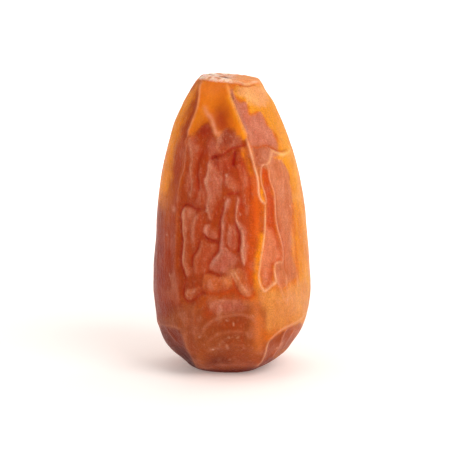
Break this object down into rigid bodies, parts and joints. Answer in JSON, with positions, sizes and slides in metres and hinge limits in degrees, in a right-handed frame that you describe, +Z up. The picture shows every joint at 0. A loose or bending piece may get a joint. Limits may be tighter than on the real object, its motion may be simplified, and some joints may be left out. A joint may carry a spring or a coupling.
{
  "type": "sukkari date",
  "caption": "Whole dried sukkari date standing on its blunt end, tapering to a small flat stem scar, with long pinched ridges and a wrinkled front.",
  "frame": {"origin": "under the middle of the fruit's box, on the flat that it stands on", "axes": "+Z up along the fruit from its blunt end to the stem scar, -Y towards the wrinkled front, +X to the front's right"},
  "size_m": [0.0226, 0.0222, 0.0422],
  "materials": {
    "date_skin": "thin waxy skin of a dried fruit, amber to red-brown, slightly translucent, satin"
  },
  "bodies": {
    "root": {"date_fruit": "date_skin"}
  },
  "joints": []
}
